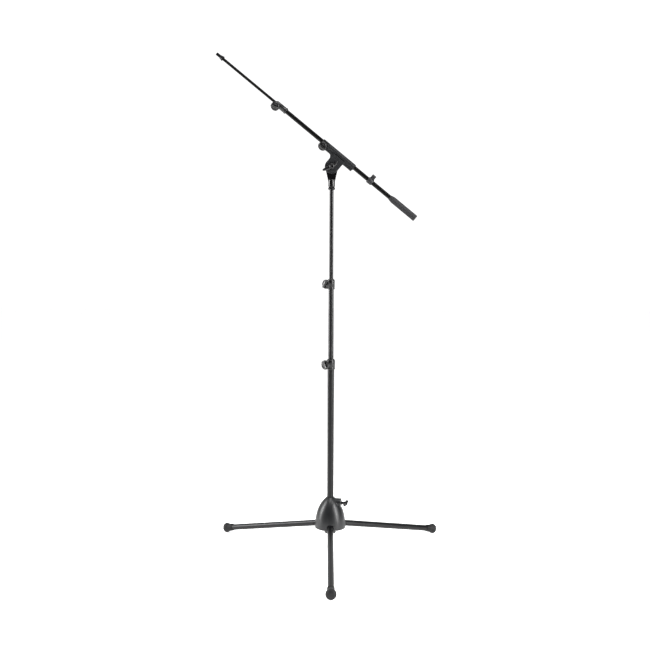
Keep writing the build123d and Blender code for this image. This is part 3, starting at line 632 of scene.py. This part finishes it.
def makeThread(name, shank, threadFrom, threadTo):
    # one tooth of the thread, screwed round and up, cut square at both ends and joined to its shank
    deselectAll()
    pitch, major, depth = thread["pitch"], thread["major"], thread["depth"]
    turns = int((threadTo - threadFrom) / pitch) + 3
    bpy.ops.mesh.primitive_plane_add(size=1)
    rod = bpy.context.object
    rod.name = name
    bpy.ops.object.mode_set(mode="EDIT")
    bpy.ops.mesh.delete(type="ONLY_FACE")
    bpy.ops.object.mode_set(mode="OBJECT")
    tooth = [(major - depth, 0.0), (major, 0.42), (major, 0.60), (major - depth, 1.0)]
    for point, (radius, share) in zip([rod.data.vertices[i] for i in (0, 1, 3, 2)], tooth):
        point.co = (radius * mm, 0, (threadFrom - 1.5 * pitch + share * pitch) * mm)
    pick(rod)
    for edge in rod.data.edges:
        heights = [rod.data.vertices[i].co.z / mm - threadFrom + 1.5 * pitch for i in edge.vertices]
        edge.select = {round(height / pitch, 2) for height in heights} == {0.0, 1.0}
    bpy.ops.object.mode_set(mode="EDIT")
    bpy.ops.mesh.select_mode(type="EDGE")
    bpy.ops.mesh.delete(type="EDGE")
    bpy.ops.object.mode_set(mode="OBJECT")
    applyModifier(rod, "SCREW", axis="Z", angle=2 * math.pi, screw_offset=pitch * mm, iterations=turns,
                  steps=40, render_steps=40, use_merge_vertices=True, merge_threshold=1e-6)
    pick(rod)
    bpy.ops.object.mode_set(mode="EDIT")
    for cut, side in ((threadFrom, -1), (threadTo, 1)):
        bpy.ops.mesh.select_all(action="SELECT")
        bpy.ops.mesh.bisect(plane_co=(0, 0, cut * mm), plane_no=(0, 0, side), use_fill=True,
                            clear_outer=True)
    bpy.ops.mesh.select_all(action="SELECT")
    bpy.ops.mesh.remove_doubles(threshold=2e-6)
    bpy.ops.mesh.normals_make_consistent(inside=False)
    bpy.ops.object.mode_set(mode="OBJECT")
    combine(rod, shank)
    return shade(rod, 25)


tipShank = turn("tipShank", [(430, 3.25), (446, 3.25), (446.01, 3.98), (462.5, 3.98)], segments=64)
tipThread = makeThread("tipThreadTurning", tipShank, 460.4, 473.7)
place(tipThread, boomFrame)
fit(tipThread, "extension", finishes["black_steel"], "black_steel", "thread_stub")
headShank = turn("headShank", [(1024, 4.4), (1040, 4.4), (1040.01, 4.5), (1041, 4.5)], segments=64)
headThread = makeThread("headThreadTurning", headShank, 1040.5, 1064.6)
fit(headThread, "rod", finishes["bright_steel"], "bright_steel", "rod_thread_stud")
print("nuts and threads made")

# bell
bell = {"rim": 44.0, "rimAt": 70.0, "wideAt": 75.0, "wall": 3.0, "side": 135.0, "sideTurn": 17.7,
        "shoulder": 85.0, "shoulderTurn": 30.8, "neck": 12.0, "bore": 9.8, "top": 155.5, "neckFrom": 112.0,
        "boss": 13.0, "bossTo": 32.0, "slotHalf": 9.0, "slotTop": 9.5, "ear": 3.2}


def bellSide(inset):
    # points up the bell's side and shoulder
    sideAt = bell["rim"] - bell["side"]
    turnEnd = math.radians(bell["sideTurn"])
    shoulderAt = (sideAt + (bell["side"] - bell["shoulder"]) * math.cos(turnEnd),
                  bell["wideAt"] + (bell["side"] - bell["shoulder"]) * math.sin(turnEnd))
    points = []
    for step in range(13):
        a = turnEnd * step / 12
        points.append((bell["wideAt"] + (bell["side"] - inset) * math.sin(a),
                       sideAt + (bell["side"] - inset) * math.cos(a)))
    for step in range(1, 19):
        a = turnEnd + math.radians(bell["shoulderTurn"]) * step / 18
        points.append((shoulderAt[1] + (bell["shoulder"] - inset) * math.sin(a),
                       shoulderAt[0] + (bell["shoulder"] - inset) * math.cos(a)))
    return points


outer = bellSide(0)
inner = bellSide(bell["wall"])
rimLine = [(bell["rimAt"], bell["rim"] - bell["wall"]), (bell["rimAt"], bell["rim"] - 0.8),
           (bell["rimAt"] + 0.8, bell["rim"])]
neckLine = [(bell["top"] - 0.8, bell["neck"]), (bell["top"], bell["neck"] - 0.8), (bell["top"], bell["bore"]),
            (bell["neckFrom"], bell["bore"]), (bell["neckFrom"], bell["neck"])]
insideLine = [(h, r) for h, r in reversed(inner) if r > bell["neck"] + 0.5]
shell = turn("bellCasting", rimLine + outer + neckLine + insideLine, segments=160, hollow=True)
hubAlong = Vector(joints["hub_clamp_turn"]["axis"])
hubFrame = frameAt(joints["hub_clamp_turn"]["pos_m"], hubAlong, (0, 0, 1))
boss = turn("hubBoss", [(11, bell["boss"]), (bell["bossTo"] - 1.2, bell["boss"]),
                        (bell["bossTo"], bell["boss"] - 1.2)], segments=96)
place(boss, hubFrame)
combine(shell, boss)
for side, azimuth in legSides.items():
    turned = Matrix.Rotation(math.radians(azimuth), 4, "Z")
    for hand in (-1, 1):
        earSide = hand * (bell["slotHalf"] + bell["ear"] / 2)
        ear = block("ear", (20.0, bell["ear"], 26.0), (32.0, earSide, 87.0))
        place(ear, turned)
        trim = turn("earTrim", [(60, bell["rim"] - 1.2)] + [(h, r - 1.2) for h, r in outer] + [(160, 5)],
                    segments=96)
        combine(ear, trim, "INTERSECT")
        combine(shell, ear)
    legSlot = block("slot", (50.0, 2 * bell["slotHalf"], 50.0), (bell["slotTop"] - 25.0, 0, 28.0))
    applyModifier(legSlot, "BEVEL", width=7.5 * mm, segments=6, limit_method="ANGLE",
                  angle_limit=math.radians(40), affect="EDGES")
    place(legSlot, legFrame(side))
    combine(shell, legSlot, "DIFFERENCE")
castSkin(shell, 0.72, 3)
hubBore = turn("hubBore", [(6, 4.2), (40, 4.2)], segments=48)
place(hubBore, hubFrame)
combine(shell, hubBore, "DIFFERENCE")
shade(shell, 42)
fit(shell, "hub", finishes["bell_cast_metal"], "bell_cast_metal", "bell_housing")
print("bell made")

# hub clamp
hubClamp = {"head": 5.0, "from": 40.5, "to": 50.5, "bar": 2.38, "halfBar": 17.0, "ball": 4.5}
screw = turn("hubScrewTurning", [
    (11.9, 3.2), (12.6, 4.0), (36.0, 4.0), (37.0, 3.5), (hubClamp["from"] - 0.5, 3.5),
    (hubClamp["from"], 4.4),
    (hubClamp["from"] + 0.6, hubClamp["head"]), (hubClamp["to"] - 1.2, hubClamp["head"]),
    (hubClamp["to"] - 0.3, 4.3), (hubClamp["to"], 3.2)], segments=64)
place(screw, hubFrame)
shade(screw)
fit(screw, "hub_clamp", finishes["black_steel"], "black_steel", "hub_clamp_screw")
barAt = (hubClamp["from"] + hubClamp["to"]) / 2
crossFrame = frameAt(hubFrame @ Vector((0, 0, barAt * mm)), hubFrame.to_3x3() @ Vector((0, 1, 0)), hubAlong)
half, bar = hubClamp["halfBar"], hubClamp["bar"]
crossBar = turn("hubBarTurning", [
    (-half + 0.1, 1.9), (-half + 0.7, bar), (-5.3, bar), (-5.1, 2.1), (5.1, 2.1), (5.3, bar),
    (half - 0.7, bar), (half - 0.1, 1.9)], segments=48)
place(crossBar, crossFrame)
shade(crossBar)
fit(crossBar, "hub_clamp", finishes["black_steel"], "black_steel", "hub_clamp_bar")
ball = hubClamp["ball"]
ballOutline = [(half - 3.6, 2.5), (half - 3.4, 3.0), (half - 2.4, 3.1)]
ballOutline += [(half + 1.5 + ball * math.sin(math.radians(a)), ball * math.cos(math.radians(a)))
                for a in range(-42, 86, 8)]
tips = turn("hubBallTips", ballOutline, segments=64)
other = tips.copy()
other.data = tips.data.copy()
bpy.context.scene.collection.objects.link(other)
place(other, Matrix.Rotation(math.pi, 4, "X"))
pick(tips)
other.select_set(True)
bpy.ops.object.join()
place(tips, crossFrame)
shade(tips)
fit(tips, "hub_clamp", finishes["black_plastic"], "black_plastic", "hub_clamp_ball_tips")
print("hub clamp made")

# end collar
endCollar = turn("endCollarMoulding", [
    (55.0, 7.4), (55.0, 15.4), (55.3, 16.3), (56.0, 17.0), (57.0, 17.0), (57.4, 16.6), (65.2, 16.6),
    (65.8, 16.9), (67.0, 16.2), (75.2, 11.9), (76.0, 11.0), (76.0, 9.5), (58.0, 9.5), (58.0, 7.4)],
    segments=128, hollow=True)
shade(endCollar)
fit(endCollar, "column", finishes["black_plastic"], "black_plastic", "tube_end_collar")

# feet
foot = {"sleeve": 25.0, "flare": 14.0, "ribs": 3, "ribPitch": 3.2}
start = legLength - foot["sleeve"]
footOutline = [(start, 8.5), (start, 9.7), (start + 0.5, 10.2)]
for rib in range(foot["ribs"]):  # shallow grooves round the sleeve
    at = start + 2.4 + rib * foot["ribPitch"]
    footOutline += [(at, 10.25 + rib * 0.15), (at + 0.5, 9.75 + rib * 0.15), (at + 1.1, 9.75 + rib * 0.15),
                    (at + 1.6, 10.3 + rib * 0.15)]
footOutline += [(start + 13.0, 10.9), (start + 15.5, 11.4), (start + 18.0, 12.4), (start + 20.0, 13.3),
                (start + 21.5, 13.85), (start + 23.0, foot["flare"]), (start + 25.6, foot["flare"]),
                (start + 26.6, 13.75), (start + 28.0, 13.2), (start + 29.5, 12.55), (start + 30.8, 11.4),
                (start + 31.8, 9.9), (start + 32.3, 8.4), (start + 32.6, 6.0), (start + 32.8, 3.0),
                (start + 32.8, 1.0)]
for side in legSides:
    rubber = turn(side + "FootMoulding", footOutline, segments=96)
    shade(rubber)
    place(rubber, legFrame(side))
    fit(rubber, side + "_leg", finishes["foot_rubber"], "foot_rubber", side + "_foot")
print("feet made")

# counterweight
weight = {"front": -187.5, "rear": -284.0, "radius": 10.25, "ribs": 36, "ribTo": 0.95}
front, rear, edge = weight["front"], weight["rear"], weight["radius"]
grip = turn("counterweightGripMoulding", [
    (rear, 6.5), (rear, edge - 1.2), (rear + 0.4, edge - 0.4), (rear + 1.2, edge), (rear + 5.0, edge),
    (rear + 5.6, edge - 0.02), (rear + 45, edge - 0.02), (front - 14.0, edge - 0.02), (front - 13.2, edge),
    (front - 11.4, edge - 0.1), (front - 8.0, 9.5), (front - 3.0, 8.2), (front - 0.6, 7.6), (front, 7.0),
    (front, 6.55)], segments=4 * weight["ribs"])
pick(grip)
for point in grip.data.vertices:  # pairs of lines between the plain bands are pressed in as lengthwise ribs
    line = round(math.atan2(point.co.y, point.co.x) / (2 * math.pi) * 4 * weight["ribs"])
    point.select = (rear + 5.5) * mm < point.co.z < (front - 13.9) * mm and line % 4 < 2
bpy.ops.object.mode_set(mode="EDIT")
bpy.ops.transform.resize(value=(weight["ribTo"], weight["ribTo"], 1), center_override=(0, 0, 0))
bpy.ops.object.mode_set(mode="OBJECT")
shade(grip, 28)
place(grip, boomFrame)
fit(grip, "boom", finishes["grip_rubber"], "grip_rubber", "counterweight_grip")

# cable clip
clip = {"at": -113.0, "length": 17.0, "radius": 9.6, "gap": 9.0, "hookAt": 15.4, "hook": 5.8, "cable": 4.2,
        "hookLength": 13.0, "cableGap": 7.0}
at, half = clip["at"], clip["length"] / 2
ring = turn("cableClipMoulding", [
    (at - half, clip["radius"] - 1.6), (at - half + 0.5, clip["radius"] - 0.6),
    (at - half + 1.6, clip["radius"]), (at + half - 1.6, clip["radius"]),
    (at + half - 0.5, clip["radius"] - 0.6), (at + half, clip["radius"] - 1.6)], segments=96)
tabHalf = clip["hookLength"] / 2
hook = turn("hook", [(-tabHalf, clip["hook"] - 0.6), (-tabHalf + 0.6, clip["hook"]),
                     (tabHalf - 0.6, clip["hook"]), (tabHalf, clip["hook"] - 0.6)], segments=64)
place(hook, Matrix.Translation((clip["hookAt"] * mm, 0, at * mm)))
combine(ring, hook)
combine(ring, block("root", (7.0, 8.0, clip["hookLength"]), (9.2, 0, at)))
ringBore = turn("ringBore", [(at - 12, 6.56), (at + 12, 6.56)], segments=96)
combine(ring, ringBore, "DIFFERENCE")
combine(ring, block("ringGap", (clip["gap"], 14.0, 24.0), (0, 9.6, at)), "DIFFERENCE")
channel = turn("channel", [(-12, clip["cable"]), (12, clip["cable"])], segments=64)
place(channel, Matrix.Translation((clip["hookAt"] * mm, 0, at * mm)))
combine(ring, channel, "DIFFERENCE")
gapAt = (clip["hookAt"] + 0.6, 4.8, at)
combine(ring, block("cableGap", (clip["cableGap"], 8.0, 24.0), gapAt), "DIFFERENCE")
softenEdges(ring, 0.45, segments=3, angle=40)
place(ring, boomFrame)
fit(ring, "clip", finishes["grey_plastic"], "grey_plastic", "cable_clip")
print("counterweight and clip made")

low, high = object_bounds()
